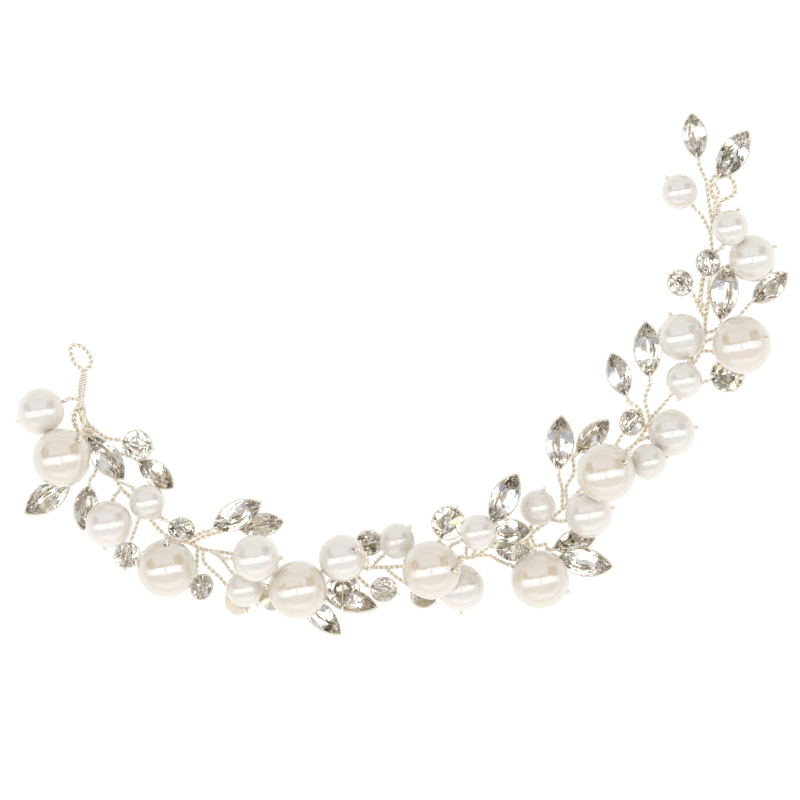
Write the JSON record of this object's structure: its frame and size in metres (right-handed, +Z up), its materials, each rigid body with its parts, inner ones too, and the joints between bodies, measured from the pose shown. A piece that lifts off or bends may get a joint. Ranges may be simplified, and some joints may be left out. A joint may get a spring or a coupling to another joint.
{
  "type": "hair vine with pearls and crystals",
  "caption": "Bendable hair vine: faux pearls and foil-backed crystals on short twisted twigs along a twisted wire stem with an eye at each end.",
  "frame": {"origin": "on the surface that the vine lies on, under the middle of its bounding box", "axes": "+X along the vine's longest side, from the left end to the right end; +Y up the picture, towards the open side of the arc; +Z up from the surface"},
  "size_m": [0.1357, 0.0918, 0.0169],
  "materials": {
    "cream_pearl": "cream pearl coating over a moulded bead",
    "white_pearl": "white pearl coating over a moulded bead",
    "crystal": "clear cut glass with a pale gold foil back",
    "wire": "pale champagne plated craft wire, twisted in pairs"
  },
  "bodies": {
    "root": {"stem": "wire", "left_loop": "wire", "right_loop": "wire", "side_strands": "wire", "twigs_left_end": "wire", "twigs_lower_left": "wire", "twigs_lower_middle": "wire", "twigs_lower_right": "wire", "twigs_right_end": "wire", "small_navettes": "crystal", "round_crystals": "crystal", "pearl_large_1": "cream_pearl", "pearl_large_2": "cream_pearl", "pearl_large_3": "cream_pearl", "pearl_large_4": "cream_pearl", "pearl_large_5": "cream_pearl", "pearl_large_6": "cream_pearl", "pearl_large_7": "cream_pearl", "pearl_medium_1": "white_pearl", "pearl_medium_2": "white_pearl", "pearl_medium_3": "white_pearl", "pearl_medium_4": "white_pearl", "pearl_medium_5": "white_pearl", "pearl_medium_6": "white_pearl", "pearl_medium_7": "white_pearl", "pearl_medium_8": "white_pearl", "pearl_medium_9": "white_pearl", "pearl_small_1": "white_pearl", "pearl_small_2": "white_pearl", "pearl_small_3": "white_pearl", "pearl_small_4": "white_pearl", "pearl_small_5": "white_pearl", "pearl_small_6": "white_pearl", "pearl_small_7": "white_pearl", "pearl_small_8": "white_pearl", "pearl_small_9": "white_pearl", "navette_large_1": "crystal", "navette_large_2": "crystal", "navette_large_3": "crystal", "navette_large_4": "crystal", "navette_large_5": "crystal", "navette_large_6": "crystal", "navette_large_7": "crystal", "navette_large_8": "crystal", "navette_large_9": "crystal", "navette_large_10": "crystal", "navette_large_11": "crystal"}
  },
  "joints": []
}
